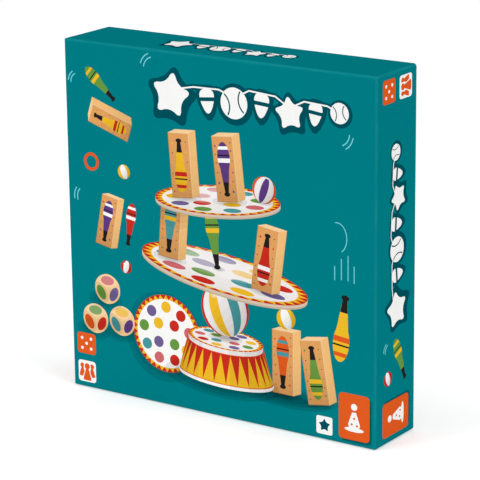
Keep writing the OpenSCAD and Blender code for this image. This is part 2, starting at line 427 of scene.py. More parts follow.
def smooth_high_spots(tree, shader, height, roughness):
    """Lowers the roughness where the surface stands high, and raises it where it lies low."""
    uneven = remap(tree, height, *HEIGHT_SPAN, roughness + UNEVEN, roughness - UNEVEN)
    feed(tree, shader.inputs["Roughness"], uneven)


def bumped(tree, shader, height, strength, distance):
    raised = add(tree, "Bump", {"Height": height, "Strength": strength, "Distance": distance})
    feed(tree, shader.inputs["Normal"], raised.outputs[0])


def toned(tree, colour):
    """Lighter or darker from face to face, as the mesh's haze and shadow say."""
    haze = add(tree, "Attribute", attribute_name="haze").outputs["Fac"]
    shadow = add(tree, "Attribute", attribute_name="shadow").outputs["Fac"]
    return mixed(tree, shadow, mixed(tree, haze, colour, INK_WHITE), BLACK)


def worn_and_lit_folds(tree, colour, node):
    """Paler along the folds of a box-shaped CAD node: partly wear, partly a painted highlight."""
    low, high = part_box(node)
    sockets = {"Centre": (low + high) / 2, "Half Size": (high - low) / 2, "Reach": EDGE_WEAR_AND_HIGHLIGHT_REACH}
    return mixed(tree, use(tree, edge_wear_and_highlight, sockets)["Mask"], colour, WORN_AND_LIT_TEAL)


def paper(name, colour, roughness=SATIN, gloss=0.0, mottle=0.05, bump=0.25, ink=False, folds_of=None):
    """A sheet of one colour. Ink takes its mesh's tones; a wrap's folds are worn and painted lighter."""
    material, tree, shader = new_material(name, roughness, gloss)
    made = use(tree, paper_fibre, {"Colour": colour, "Mottle": mottle})
    base = made["Colour"]
    if ink:
        base = toned(tree, base)
    if folds_of:
        base = worn_and_lit_folds(tree, base, folds_of)
    if gloss:
        smooth_high_spots(tree, shader, made["Height"], roughness)
    feed(tree, shader.inputs["Base Color"], base)
    bumped(tree, shader, made["Height"], bump, FIBRE_BUMP)
    return material


print("fibres stand", FIBRE_BUMP / MM, "mm high")

# %% [markdown]
# Each design could mix its own colours. Here all of them draw on one set of inks, so that the designs below
# can name their inks in words, and the same orange is the same everywhere.

# %% Inks
INKS = {
    "teal": TEAL, "night": srgb(0, 79, 91), "mist": srgb(120, 216, 230),
    "white": INK_WHITE, "cream": srgb(240, 236, 234), "coal": srgb(36, 33, 35),
    "orange": srgb(226, 92, 34), "red": srgb(201, 46, 34), "rose": srgb(208, 104, 110),
    "yellow": srgb(240, 188, 42), "green": srgb(104, 152, 66), "sky": srgb(74, 152, 158),
    "violet": srgb(112, 96, 148), "plum": srgb(96, 62, 132),
    "birch": srgb(248, 208, 154), "maize": srgb(242, 190, 122), "oak": srgb(226, 162, 96),
    "sand": srgb(214, 196, 174),
}
INK = {name: paper("ink_" + name, colour, ink=True) for name, colour in INKS.items()}
print(len(INK), "inks")

# %% [markdown]
# The blocks and dice are sanded beech under a thin matt coat, so they have more gloss than paper, and the
# grain can just be felt. The staples are plain galvanised wire, which needs no group: it is all one metal.

# %% Wood and wire
SANDED = 0.6
WOOD_GLOSS = 0.3
GRAIN_BUMP = 0.08 * MM
GRAIN_STRENGTH = 0.3


def wood(name, light, dark):
    material, tree, shader = new_material(name, SANDED, WOOD_GLOSS)
    made = use(tree, beech_grain, {"Light": light, "Dark": dark})
    feed(tree, shader.inputs["Base Color"], made["Colour"])
    smooth_high_spots(tree, shader, made["Height"], SANDED)
    bumped(tree, shader, made["Height"], GRAIN_STRENGTH, GRAIN_BUMP)
    return material


def galvanised_wire(name):
    material, _, shader = new_material(name, 0.32, 0.5)
    shader.inputs["Base Color"].default_value = srgb(190, 192, 196)
    shader.inputs["Metallic"].default_value = 1.0
    return material


print("the grain stands", GRAIN_BUMP / MM, "mm high")

# %% [markdown]
# Every imported piece keeps its shape and gets its finish. The record names a material slot for each, so one
# finish for each slot dresses most of them. The two wraps and the booklet's cover are printed teal, and each
# wrap is paler along its own folds, from wear and from a painted highlight, so these three have finishes of
# their own.

# %% Dress the imported pieces
FINISHES = {
    "greyboard": paper("greyboard", srgb(158, 142, 124), MATT, 0.1, mottle=0.35, bump=0.8),
    "kraft_tape": paper("kraft_tape", srgb(178, 138, 92), MATT, 0.1, mottle=0.2),
    "white_card": paper("white_card", srgb(238, 236, 229), 0.7, 0.2, mottle=0.06, bump=0.6),
    "printed_sheet": paper("printed_sheet", INKS["cream"]),
    "page_paper": paper("page_paper", srgb(240, 238, 232), MATT, 0.15, mottle=0.08),
    "staple_wire": galvanised_wire("staple_wire"),
    "block_wood": wood("block_wood", srgb(238, 198, 138), srgb(205, 152, 92)),
    "die_wood": wood("die_wood", srgb(236, 188, 134), srgb(206, 146, 92)),
}
TEAL_SHEETS = {
    "lid_wrap": paper("lid_wrap_print", TEAL, folds_of="lid_wrap"),
    "base_wrap": paper("base_wrap_print", TEAL, folds_of="base_wrap"),
    "rules_cover": paper("rules_cover_print", TEAL),
}
for part in frame["record"]["subparts"]:
    name = part["node"]
    finish = TEAL_SHEETS[name] if name in TEAL_SHEETS else FINISHES[part["material_slot"]]
    materials = NODES[name].data.materials
    materials.clear()
    materials.append(finish)
print("dressed", len(NODES), "packed pieces")

# %% [markdown]
# Every motif below is made of flat outlines. They could be Blender's own curve objects, but plain lists of
# points are easier to move, cut and count. The helpers make the few shapes that recur, and put() moves a
# whole design, which is a list of (ink, outline) pairs. A finished design is in millimetres.

# %% Outlines
CORNER_STEPS = 6


def arc(x, y, rx, ry, start, end, steps):
    """Points along part of an ellipse, with its angles in degrees."""
    angles = [math.radians(start + (end - start) * i / steps) for i in range(steps + 1)]
    return [(x + rx * math.cos(t), y + ry * math.sin(t)) for t in angles]


def ellipse(x, y, rx, ry, steps=28):
    return arc(x, y, rx, ry, 0, 360, steps)[:-1]


def circle(x, y, r, steps=28):
    return ellipse(x, y, r, r, steps)


def on_circle(r, degrees):
    """One point on a circle round the origin."""
    return r * math.cos(math.radians(degrees)), r * math.sin(math.radians(degrees))


def band(below, above, start=180, end=360, steps=40):
    """What lies between two arcs over the same angles, each given as (y, rx, ry)."""
    return arc(0, *below, start, end, steps) + arc(0, *above, end, start, steps)


def slab(x0, y0, x1, y1, r=0.0):
    """A rectangle, with round corners if r is given."""
    if not r:
        return [(x0, y0), (x1, y0), (x1, y1), (x0, y1)]
    quarters = ((x1 - r, y0 + r, -90), (x1 - r, y1 - r, 0), (x0 + r, y1 - r, 90), (x0 + r, y0 + r, 180))
    return [point for x, y, start in quarters for point in arc(x, y, r, r, start, start + 90, CORNER_STEPS)]


def taper(low, high, foot, head):
    """A bar between two heights, with half its width at each."""
    return [(-foot, low), (foot, low), (head, high), (-head, high)]


def star(r, points=5, waist=0.5):
    radii = (r, r * waist)
    return [(radii[i % 2] * math.sin(math.pi * i / points), radii[i % 2] * math.cos(math.pi * i / points))
            for i in range(2 * points)]


def softened(points, rounds=2):
    """Cuts every corner, which rounds the outline off."""
    for _ in range(rounds):
        pairs = zip(points, points[1:] + points[:1])
        points = [(a[0] * k + b[0] * (1 - k), a[1] * k + b[1] * (1 - k))
                  for a, b in pairs for k in (0.75, 0.25)]
    return points


def moved(points, x=0.0, y=0.0, turn=0.0, wide=1.0, tall=1.0):
    """Scales, then turns, then shifts."""
    c, s = math.cos(math.radians(turn)), math.sin(math.radians(turn))
    return [(x + c * px * wide - s * py * tall, y + s * px * wide + c * py * tall) for px, py in points]


def put(art, x=0.0, y=0.0, turn=0.0, wide=1.0, tall=None):
    """A whole design, moved. It keeps its shape if only wide is given."""
    return [(ink, moved(points, x, y, turn, wide, wide if tall is None else tall)) for ink, points in art]


def stroke(ink, points, width):
    """A line of even width: a bar for each stretch, and a dot at each point."""
    art = [(ink, circle(x, y, width / 2, 10)) for x, y in points]
    for (ax, ay), (bx, by) in zip(points, points[1:]):
        length = math.hypot(bx - ax, by - ay)
        nx, ny = -(by - ay) / length * width / 2, (bx - ax) / length * width / 2
        art.append((ink, [(ax + nx, ay + ny), (ax - nx, ay - ny), (bx - nx, by - ny), (bx + nx, by + ny)]))
    return art


print("a star has", len(star(1)), "corners")

# %% [markdown]
# The print could be painted by a shader, but sharp motifs are easier as geometry. All outlines of a design
# go through one triangulation, from the lowest to the topmost. Each triangle takes the ink of the topmost
# outline that covers it, and the bare triangles are left out. The result is one skin of ink with no
# overlaps, a few hundredths of a millimetre above its sheet.
#
# A printer shades a picture with more or less of the same ink. Here a number in the ink's place does that:
# 0.9 lets 90% of the light below it through, and 1.2 lays 20% of white haze over it. Each triangle keeps
# what the numbers add up to as two mesh attributes, which the inks read. Where only numbers cover it, the
# ink is teal, like the wrap below.

# %% Tones and triangles
TRIANGLES_INSIDE = 1
SAME_POINT = 1e-4


def soft_shadow(x, y, rx, ry, light, rings=4):
    """Nested ellipses that let through only this share of the light in the middle, and more further out."""
    return [(light ** (1 / rings), ellipse(x, y, rx * k / rings, ry * k / rings))
            for k in range(rings, 0, -1)]


def signed_area(points):
    """Above zero for an outline that runs anticlockwise, which the triangulation needs."""
    return sum(a[0] * b[1] - b[0] * a[1] for a, b in zip(points, points[1:] + points[:1])) / 2


def mosaic(art):
    """Triangulates a design. Returns its points, and (corners, ink, haze, shadow) for each triangle."""
    points, outlines, inks = [], [], []
    for ink, outline in art:
        if signed_area(outline) < 0:
            outline = outline[::-1]
        outlines.append(list(range(len(points), len(points) + len(outline))))
        points += [Vector(p) for p in outline]
        inks.append(ink)
    made = delaunay_2d_cdt(points, [], outlines, TRIANGLES_INSIDE, SAME_POINT, True)
    flat, faces, covering = made[0], made[2], made[5]
    triangles = []
    for face, ids in zip(faces, covering):
        if ids:
            top = max((i for i in ids if isinstance(inks[i], str)), default=-1)
            tones = [inks[i] for i in ids if i > top]
            clear = math.prod(2 - tone for tone in tones if tone > 1)
            light = math.prod(tone for tone in tones if tone < 1)
            triangles.append((face, "teal" if top < 0 else inks[top], 1 - clear, 1 - light))
    return flat, triangles


print("a round spot is", len(mosaic([("red", circle(0, 0, 1))])[1]), "triangles")

# %% [markdown]
# The ink's place could be typed in, but then it would stay behind when the box changes. So a sheet's middle
# and its two directions come from the imported node. The ink is a piece of its own, on the same body as its
# sheet.

# %% The press
INK_LIFT = 0.03 * MM


def sheet_on(node, right, up):
    """The flat side of a CAD node that faces right x up: its middle, and the directions across and up it."""
    low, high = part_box(node)
    right, up = Vector(right), Vector(up)
    outward = right.cross(up)
    half = (high - low) / 2
    middle = (low + high) / 2 + Vector(o * h for o, h in zip(outward, half)) + outward * INK_LIFT
    return middle, right, up


def press(name, body, slot, *prints):
    """Prints one or more (sheet, design) pairs as one piece that rides on a body."""
    points, faces = [], []
    for (middle, right, up), art in prints:
        flat, triangles = mosaic(art)
        first = len(points)
        points += [middle + right * p.x * MM + up * p.y * MM for p in flat]
        faces += [([first + i for i in corners], *tones) for corners, *tones in triangles]
    corners, inks, haze, shadow = zip(*faces)
    mesh = bpy.data.meshes.new(name)
    mesh.from_pydata(points, [], corners)
    palette = sorted(set(inks))
    for ink in palette:
        mesh.materials.append(INK[ink])
    mesh.polygons.foreach_set("material_index", [palette.index(ink) for ink in inks])
    for title, values in (("haze", haze), ("shadow", shadow)):
        mesh.attributes.new(title, "FLOAT", "FACE").data.foreach_set("value", values)
    piece = bpy.data.objects.new(name, mesh)
    scene.collection.objects.link(piece)
    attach(piece, body)
    return piece


print("ink stands", INK_LIFT / MM, "mm off its sheet")

# %% [markdown]
# The designs share a small set of circus motifs. Each is drawn once, round its own origin, and then moved,
# turned and scaled into place.
#
# A juggling club is a long belly on a tapering neck. A stripe could be a plain bar, but its ends would
# stick out. So each is cut from the same ellipse as the belly, and ends exactly on its outline.

# %% Clubs
OUTFITS = (("sky", "yellow"), ("green", "yellow"), ("red", "white"), ("yellow", "red"),
           ("plum", "white"), ("orange", "sky"))
BELLY = (0.72, 0.135, 0.28)


def belt(low, high):
    """A stripe across a club's belly, between two heights."""
    y, rx, ry = BELLY
    start, end = [math.degrees(math.asin((h - y) / ry)) for h in (low, high)]
    return arc(0, y, rx, ry, start, end, 4) + arc(0, y, rx, ry, 180 - end, 180 - start, 4)


def club(body, trim):
    """A juggling club, 1 unit tall, standing on its knob."""
    return [
        (body, ellipse(0, *BELLY, 36)), (body, taper(0.05, 0.6, 0.036, 0.108)),
        ("coal", taper(0.05, 0.26, 0.036, 0.062)), ("coal", ellipse(0, 0.04, 0.065, 0.04, 20)),
        (trim, belt(0.62, 0.7)), ("coal", belt(0.74, 0.765)), (trim, belt(0.86, 0.92)),
    ]


print("a club is", len(club("red", "white")), "outlines")

# %% [markdown]
# A beach ball's stripes follow its lines of longitude. Each could be cut along both its edges. Here each
# stripe covers all that lies right of one line, and the next one is laid over it. The same outlines, laid
# on as tones, shade the ball.

# %% Balls
GOLD_BALL = ("yellow", "white", "yellow")
RED_BALL = ("red", "white", "red")


def side_of_ball(reach):
    """What lies between a ball's right rim and a line of longitude, which bulges by reach."""
    return arc(0, 0, 1, 1, -90, 90, 18) + arc(0, 0, reach, 1, 90, -90, 18)[1:-1]


def ball(inks, turn=0):
    """A striped ball of radius 1, with light from its upper left."""
    edges = [-math.cos(math.pi * i / len(inks)) for i in range(len(inks))]
    stripes = [(ink, side_of_ball(edge)) for ink, edge in zip(inks, edges)]
    stripes.append(("white", ellipse(0, 0.95, 0.16, 0.05, 14)))
    shade = [(0.93, side_of_ball(edge)) for edge in (-0.3, 0, 0.3, 0.55, 0.75)]
    gleam = [(1.3, ellipse(0, 0, 0.24 * size, 0.13 * size, 18)) for size in (1, 0.6)]
    return put(stripes, turn=turn) + put(shade, turn=-40) + put(gleam, -0.38, 0.5, 35)


print("a ball is", len(ball(RED_BALL)), "outlines")

# %% [markdown]
# The garland's pieces are white on a dark rim that shows mostly below and to the right, which lifts them
# off the teal. A rim could be offset evenly from its outline. Here it is the shape drawn again, larger and
# shifted, which gives the uneven width of a hand-cut one.

# %% Stars, white balls and pennants
def white_star(r):
    rim = moved(softened(star(r * 1.38, waist=0.6)), r * 0.05, -r * 0.08)
    return [("night", rim), ("white", softened(star(r * 1.02, waist=0.52)))]


def white_ball(r):
    """A white ball with a dark rim and two curved seams."""
    art = [("night", circle(r * 0.06, -r * 0.08, r * 1.32, 36)), ("white", circle(0, 0, r, 36))]
    for side in (-1, 1):
        seam = arc(side * r * 1.35, 0, r, r, 90 + side * 50, 90 + side * 130, 8)
        art += stroke("night", seam, r * 0.1)
    return art


def white_flag(w, h):
    """A pennant that hangs from its top edge, with a bar."""
    outline = [(-w / 2, 0), (w / 2, 0), (0, -h)]
    rim = [(-w / 2 - 4.4, 2.8), (w / 2 + 5, 2.8), (0.8, -h - 7.6)]
    bar = taper(-h * 0.26, -h * 0.38, w * 0.36, w * 0.3)
    return [("night", softened(rim)), ("white", softened(outline, 3)), ("night", bar)]


print("a white ball is", len(white_ball(1)), "outlines")

# %% [markdown]
# The game's boards are white discs with coloured spots inside a ring of teeth. Each tooth could be cut to
# its own shape. But a yellow disc, with red triangles on it and the white field on top, gives the same ring
# with fewer outlines. The same drawing, squashed, is a board lying down.

# %% Round boards
SPOT_INKS = ("violet", "green", "sky", "rose", "red", "yellow")
SPOT_R = 0.145
SPOT_RINGS = ((4, 0.34, 45), (9, 0.69, 10))
BOARD_TEETH = 36
FIELD = 0.885


def board_art(first=0, field="white"):
    """A round board seen face on, of radius 1."""
    art = [("yellow", circle(0, 0, 1, 108))]
    pitch = 360 / BOARD_TEETH
    for i in range(BOARD_TEETH):
        rim = arc(0, 0, 1, 1, i * pitch, (i + 1) * pitch, 3)
        art.append(("red", rim + [on_circle(FIELD, (i + 0.5) * pitch)]))
    art.append((field, circle(0, 0, FIELD, 96)))
    for count, reach, shift in SPOT_RINGS:
        for i in range(count):
            x, y = on_circle(reach, shift + 360 * i / count)
            art.append((SPOT_INKS[(i + first + count) % len(SPOT_INKS)], circle(x, y, SPOT_R, 32)))
    return art


def tilted_board(rx, ry, thick, turn, first):
    """The same board lying down, seen from a little above, with its cut edge and the light on it."""
    foot = (-thick, rx, ry)
    edge = [("sand", band((0, rx, ry), foot)), (0.8, band((-thick * 0.6, rx, ry), foot))]
    gleam = [(1.11, circle(-0.1, 0.34, r, 40)) for r in (0.62, 0.52, 0.42, 0.3)]
    dusk = [(0.97, arc(0, 0, 1, 1, 180, 360, 40) + arc(0, 0, 1, low, 360, 180, 40)[1:-1])
            for low in (0.2, 0.5, 0.75)]
    return put(edge + put(board_art(first, "cream") + gleam + dusk, wide=rx, tall=ry), turn=turn)


print("a board is", len(board_art()), "outlines")

# %% [markdown]
# The print of a real block is needed twice: on the blocks themselves, and on the blocks drawn in the
# picture. So it is drawn once at its real size, and the picture's blocks use a smaller copy of it. Each has
# a wide front, a narrow side and a top, with grain, a darker foot and a light along its edges.

# %% Blocks
CLUB_MM = 71
BLOCK_STARS = ((-12, 30, 2.2), (12, 24, 1.8), (-12.4, 8, 1.5),
               (12, -4, 1.7), (-10.5, -18, 2.1), (10.5, -29, 2.4))
BLOCK_DOTS = ((12, 35), (-12.6, 19), (12.6, 11), (-11.5, -5), (11, -16), (-10.5, -31))
BLOCK_ART_W = 32
DRAWN_W = 18.0
DRAWN_H = 48.0
DRAWN_DX = 6.5
DRAWN_DY = DRAWN_DX * 0.42
GRAIN_LINES = ((2.1, 0.4), (4.7, 0.9), (8.4, -0.5), (11.2, 0.3), (14.9, -0.6), (16.4, 0.2))


def block_art(outfit, flipped=False):
    """The print on a block's wide side, 32 by 85 mm round its middle."""
    body, trim = OUTFITS[outfit % len(OUTFITS)]
    art = put(club(body, trim), 0, -CLUB_MM / 2, wide=CLUB_MM)
    art += [(body, moved(star(r, 4, 0.42), x, y)) for x, y, r in BLOCK_STARS]
    art += [("coal", circle(x, y, 0.8, 10)) for x, y in BLOCK_DOTS]
    return put(art, turn=180 if flipped else 0)


def drawn_block(outfit, flipped=False, under=0.0):
    """A block seen from its front right, its foot's left corner at the origin. under is the share of it,
    from the top, that something above it shades."""
    w, h, dx, dy = DRAWN_W, DRAWN_H, DRAWN_DX, DRAWN_DY

    def side(low, high):
        """A stretch of its right side."""
        return [(w, low), (w + dx, low + dy), (w + dx, high + dy), (w, high)]

    top = [(0, h), (w, h), (w + dx, h + dy), (dx, h + dy)]
    art = [("oak", slab(0, 0, w, h)), ("maize", side(0, h)), ("birch", top)]
    for x, lean in GRAIN_LINES:
        art.append((0.95, [(x, 0), (x + 0.5, 0), (x + lean + 0.4, h), (x + lean, h)]))
    art += put(block_art(outfit, flipped), w / 2, h / 2, wide=w / BLOCK_ART_W)
    for share in (0.62, 0.46, 0.32, 0.2, 0.1):
        art.append((0.95, [(0, 0), (w, 0), (w, h * share * 0.8), (0, h * share * 1.15)]))
        art.append((0.97, side(0, h * share)))
    for share in (1, 0.8, 0.6, 0.4) if under else ():
        low = h * (1 - under * share)
        art.append((0.9, [(0, low), (w, low), (w + dx, low + dy), (w + dx, h + dy), (dx, h + dy), (0, h)]))
    art += [(0.7, slab(0, 0, w, 0.5)), (0.75, side(0, 0.5)), (0.82, slab(0, 0, 0.45, h))]
    return art + [(1.25, slab(w - 0.3, 0, w + 0.3, h)), (1.2, slab(0, h - 0.3, w, h + 0.3))]


def standing(outfit, x, y, turn=0, flipped=False, under=0.0):
    """A block with its shadow, standing on what is drawn below it."""
    shadow = soft_shadow(DRAWN_W / 2 + 1.5, 0.4, DRAWN_W * 0.85, 3.8, 0.5)
    return put(shadow + drawn_block(outfit, flipped, under=under), x, y, turn)


print("a drawn block is", len(drawn_block(0)), "outlines")

# %% [markdown]
# A die seen corner on is a hexagon with three faces. A round spot on a slanted face is an ellipse, and it
# needs no ellipse of its own: a circle's two coordinates are laid along the face's own two edges.

# %% Dice
DRAWN_DICE = (("green", "orange", "red"), ("yellow", "sky", "plum"), ("rose", "green", "violet"))
DRAWN_DIE_R = 13


def drawn_die(top, left, right):
    """A rounded cube seen corner on, with three faces and a large spot on each."""
    a, b, c, middle = 0.9, 0.52, 1.02, (0, 0)
    hexagon = [(0, -c), (a, -b), (a, b), (0, c), (-a, b), (-a, -b)]
    art = soft_shadow(-0.15, -0.7, 1.2, 0.6, 0.5) + [("birch", softened(hexagon, 3))]
    faces = ((top, 1.1, [middle, (a, b), (0, c), (-a, b)], (a, b), (-a, b), (0, 0.5)),
             (left, 0.84, [(-a, b), middle, (0, -c), (-a, -b)], (a, -b), (0, c), (-0.45, -0.26)),
             (right, 0.95, [middle, (a, b), (a, -b), (0, -c)], (a, b), (0, c), (0.45, -0.26)))
    for ink, light, outline, across, up, (x, y) in faces:
        spot = [(x + 0.37 * (u * across[0] + v * up[0]), y + 0.37 * (u * across[1] + v * up[1]))
                for u, v in circle(0, 0, 1, 30)]
        art += [(ink, spot), (light, softened(outline, 3))]
    for share in (0.4, 0.2, 0.0):
        art.append((0.95, moved(softened(hexagon, 3), -0.02, -0.5 + share * 0.5, 0, 0.97, 0.5)))
    return put(art, wide=DRAWN_DIE_R)


print("a drawn die is", len(drawn_die(*DRAWN_DICE[0])), "outlines")

# %% [markdown]
# A circus tub stands under the tower. Its wall has long yellow triangles that rise from the foot, and red
# ones that hang between them. They could be placed one by one. Here their corners lie on two rings, one
# near the foot and one near the rim, so that they follow the round wall. The top is a round board.

# %% Tub
TUB_STRIPES = 12
TUB_STEPS = 30
INSIDE_RIM = 0.985


def tub(top, foot, tall, deep):
    """A tub this tall. top and foot are half its width there, and deep is half its ovals' height."""
    foot_rim, top_rim = (0, foot, deep), (tall, top, deep)
    art = [("orange", band(foot_rim, top_rim, steps=TUB_STEPS))]
    low_ring, high_ring = (foot * INSIDE_RIM, 3), (top * INSIDE_RIM, tall - 4)

    def stripe(ink, base, tip, shift):
        """One triangle, from a stretch of one ring to a point on the other."""
        a, b = (math.radians(180 + 180 * k / TUB_STRIPES) for k in (shift, shift + 1))
        points = ((base, a), (base, b), (tip, (a + b) / 2))
        art.append((ink, [(r * math.cos(t), y + deep * math.sin(t)) for (r, y), t in points]))

    for i in range(TUB_STRIPES):
        stripe("yellow", low_ring, high_ring, i)
    for i in range(TUB_STRIPES - 1):
        stripe("red", high_ring, low_ring, i + 0.5)
    art.append(("white", band(foot_rim, (2.4, foot, deep), steps=TUB_STEPS)))
    art.append(("cream", band((tall - 3.4, top, deep), top_rim, steps=TUB_STEPS)))
    art += [(0.9, band(foot_rim, top_rim, 180, edge, 8)) for edge in (200, 215, 232)]
    art += [(0.9, band(foot_rim, top_rim, edge, 360, 12)) for edge in (345, 325, 300, 275)]
    return art + put(board_art(2, "cream"), 0, tall, wide=top, tall=deep)


print("a tub is", len(tub(1, 1, 1, 1)), "outlines")

# %% [markdown]
# Small tiles near the corners balance the picture: five pips, three pawns, a circus hat and a star. Each
# could be drawn at one size. Here each is given its size, so that the sides and the booklet can show the
# same ones.

# %% Badges
def tile(w, h, r):
    """A tile with round corners, round the origin."""
    return slab(-w / 2, -h / 2, w / 2, h / 2, r)


def pips_badge(w, h):
    """An orange tile with five white pips."""
    art = [("orange", tile(w, h, 2.4))]
    for x, y in ((0, 0), (-1, -1), (1, -1), (-1, 1), (1, 1)):
        art.append(("white", circle(x * w * 0.24, y * h * 0.24, w * 0.072, 18)))
    return art


def pawns_badge(w, h):
    """A white tile with three orange pawns."""
    art = [("white", tile(w, h, 2.4))]
    skirt = softened([(-0.1, 0.5), (0.1, 0.5), (0.5, -0.72), (0.5, -0.95), (-0.5, -0.95), (-0.5, -0.72)], 1)
    pawn = [("white", moved(skirt, wide=1.35, tall=1.1)), ("white", circle(0, 0.56, 0.45, 20)),
            ("orange", skirt), ("orange", circle(0, 0.56, 0.33, 20))]
    for x, y, size in ((-0.28, 0.06, 0.74), (0.28, 0.06, 0.74), (0, -0.02, 0.96)):
        art += put(pawn, x * w, y * h, wide=h * 0.46 * size)
    return art


def hat_badge(w, h):
    """An orange tile with a white cone and a ball on its tip. Its shadow falls to its right and below it."""
    cone = softened([(-0.26, -0.3), (0.26, -0.3), (0, 0.24)], 1)
    art = [(0.72, moved(tile(w, h, 3.2), drop, -drop)) for drop in (1.8, 1.2, 0.6)]
    art += [("orange", tile(w, h, 3.2)), ("white", moved(cone, wide=w, tall=h))]
    art += [("white", ellipse(0, -0.27 * h, 0.31 * w, 0.05 * h)), ("white", circle(0, 0.22 * h, 0.1 * w))]
    for x, y, r in ((0, -0.03, 0.035), (-0.08, -0.16, 0.035), (0.09, -0.18, 0.035)):
        art.append(("orange", circle(x * w, y * h, r * w, 14)))
    return art


def star_badge(w):
    """A white tile with a dark star."""
    return [("white", tile(w, w, 1.6)), ("night", softened(star(w * 0.4), 1))]


print("three pawns are", len(pawns_badge(1, 1)) - 1, "outlines")

# %% [markdown]
# A garland of stars, balls and pennants hangs over the picture and on each side. It could be a list of
# finished pieces. But the dark rims lie below the cord and the white shapes above it, so each piece is
# taken apart and all rims are laid first. Short curved marks show what moves.

# %% Garland and motion marks
CORD = [(-64, 4), (-44, 8), (-22, 8.5), (-9, 4), (4, 10.5), (26, 9), (38, 2), (50, 8), (69, 7), (79, 3)]


def garland():
    """Seven pieces on a cord, about 170 mm long in all."""
    hung = ((-64, 0, -8, white_star(18.5)), (-33, 8, 6, white_flag(19, 24)), (-9, 0, 12, white_ball(11.5)),
            (15, 10, -4, white_flag(19, 24)), (38, -2, 8, white_star(13.5)), (60, 8, -6, white_flag(17, 22)),
            (79, 3, 10, white_ball(7.5)))
    tokens = [put(token, x, y, turn) for x, y, turn, token in hung]
    rims = [rim for rim, *_ in tokens]
    whites = [outline for _, *rest in tokens for outline in rest]
    return stroke("night", CORD, 4.4) + rims + stroke("white", CORD, 1.2) + whites


def ticks(r):
    """Two short curved motion marks."""
    return [line for reach, half in ((r, 32), (r * 1.35, 24))
            for line in stroke("mist", arc(0, 0, reach, reach, -half, half, 6), 0.8)]


print("the garland is", len(garland()), "outlines")

# %% [markdown]
# The front carries one big picture: round boards, balls and blocks balanced on a circus tub. It could be
# drawn in any order. Here it is stacked as a player would do it, from the bottom up and from the back to
# the front, so that each thing covers, and shades, what it stands on.

# %% Tower
def behind_the_tub():
    """A board that leans on the tub from the left, and two blocks with a ball at its right."""
    art = soft_shadow(-48, -82, 35, 35, 0.2, 8) + put(board_art(0), -46, -79, wide=30)
    art += soft_shadow(58, -109, 40, 8, 0.35) + standing(5, 48, -107) + standing(1, 79, -111, 9, True)
    return art + put(ball(GOLD_BALL, 20), 60, -49.5, wide=8)


def tub_and_ball():
    """The tub, and the ball that carries all that is above it."""
    art = soft_shadow(3, -106, 51, 14, 0.25, 6) + put(tub(33, 42, 30, 8), 7, -104)
    art += soft_shadow(7, -73, 15, 3.6, 0.5)
    return art + put(ball(("red", "cream", "yellow", "cream", "sky", "cream", "red"), 18), 7, -51, wide=21)


def lower_board():
    """The wide board on the ball, with two blocks and a club that holds up the next one."""
    art = put(tilted_board(73, 15, 3.2, -6, 1), 6, -24)
    art += standing(0, -52, -19, -5, under=0.5) + standing(2, 30, -31, -8, True)
    return art + soft_shadow(2, -21.5, 6, 1.8, 0.5) + put(club("green", "yellow"), 1, -22, 8, wide=44)


def upper_board():
    """The small board on top, with two blocks and a ball."""
    art = put(tilted_board(55, 11, 2.8, 5, 4), 1, 30)
    art += standing(3, -38, 27, 4, True) + standing(4, 2, 29, 6)
    art += soft_shadow(42, 34, 9, 2.2, 0.5)
    return art + put(ball(("orange", "cream", "plum", "cream", "orange"), -20), 42, 43, wide=10)


tower = behind_the_tub() + tub_and_ball() + lower_board() + upper_board()
print("the tower is", len(tower), "outlines")

# %% [markdown]
# The garland hangs over the tower. Clubs, blocks, balls and a ring fly at the left, dice lie below them,
# one club tumbles at the right, and the badges sit in the two lower corners. They could be strewn at
# random, but some would touch, so each place is listed.

# %% Round the tower
TUMBLE_LINES = ((101, -14, -4), (106.5, -13, 2), (112, -13, 5), (117, -14, -2))
DICE_PLACES = ((-112, -78), (-87, -76), (-100, -53))


def swinging_garland():
    """The garland, with a motion mark at each end."""
    return put(garland(), 26, 103) + put(ticks(9), -53, 120, 138) + put(ticks(9), 104, 92, -35)


def hoop(ink):
    """A juggling ring of radius 1."""
    return [(ink, circle(0, 0, 1)), ("teal", circle(0, 0, 0.66))]


def juggled_art():
    """The clubs, blocks, balls and ring in the air at the left."""
    art = put(club("green", "yellow"), -89, 93, 50, wide=34) + put(ticks(7), -122, 103, 150)
    art += put(drawn_block(3, True), -78, 63, 72, wide=0.78) + put(hoop("orange"), -112, 44, wide=7)
    art += put(drawn_block(4), -110, -18, -11, wide=0.82) + put(club("red", "white"), -80, -16, -9, wide=33)
    art += put(ball(GOLD_BALL, 20), -82, 40, wide=5.5)
    return art + put(ball(RED_BALL, -15), -82, -33, wide=5) + put(ticks(8), -118, 16, 168)


def tumbling_art():
    """The dice at the left, and the club that tumbles at the right with its motion marks."""
    art = []
    for inks, (x, y) in zip(DRAWN_DICE, DICE_PLACES):
        art += put(drawn_die(*inks), x, y)
    art += put(club("yellow", "orange"), 110, -24, 174, wide=50)
    for x, low, high in TUMBLE_LINES:
        art += stroke("mist", [(x, low), (x, high)], 0.7)
    return art + stroke("mist", arc(103, 17, 8, 11, 100, -60, 10), 0.7)


def badges_art():
    """Two badges for each lower corner."""
    art = put(pips_badge(17.5, 16.6), -121.5, -99.6) + put(pawns_badge(16.6, 17), -121.6, -122)
    return art + put(star_badge(13.6), 92.3, -123.9) + put(hat_badge(25.6, 34.6), 117.2, -113.2)


front = sheet_on("lid_wrap", (1, 0, 0), (0, 0, 1))
design = swinging_garland() + tower + juggled_art() + tumbling_art() + badges_art()
piece = press("front_print", "lid", "printed_wrap", (front, design))
print("front print:", len(piece.data.polygons), "triangles in", len(piece.data.materials), "inks")

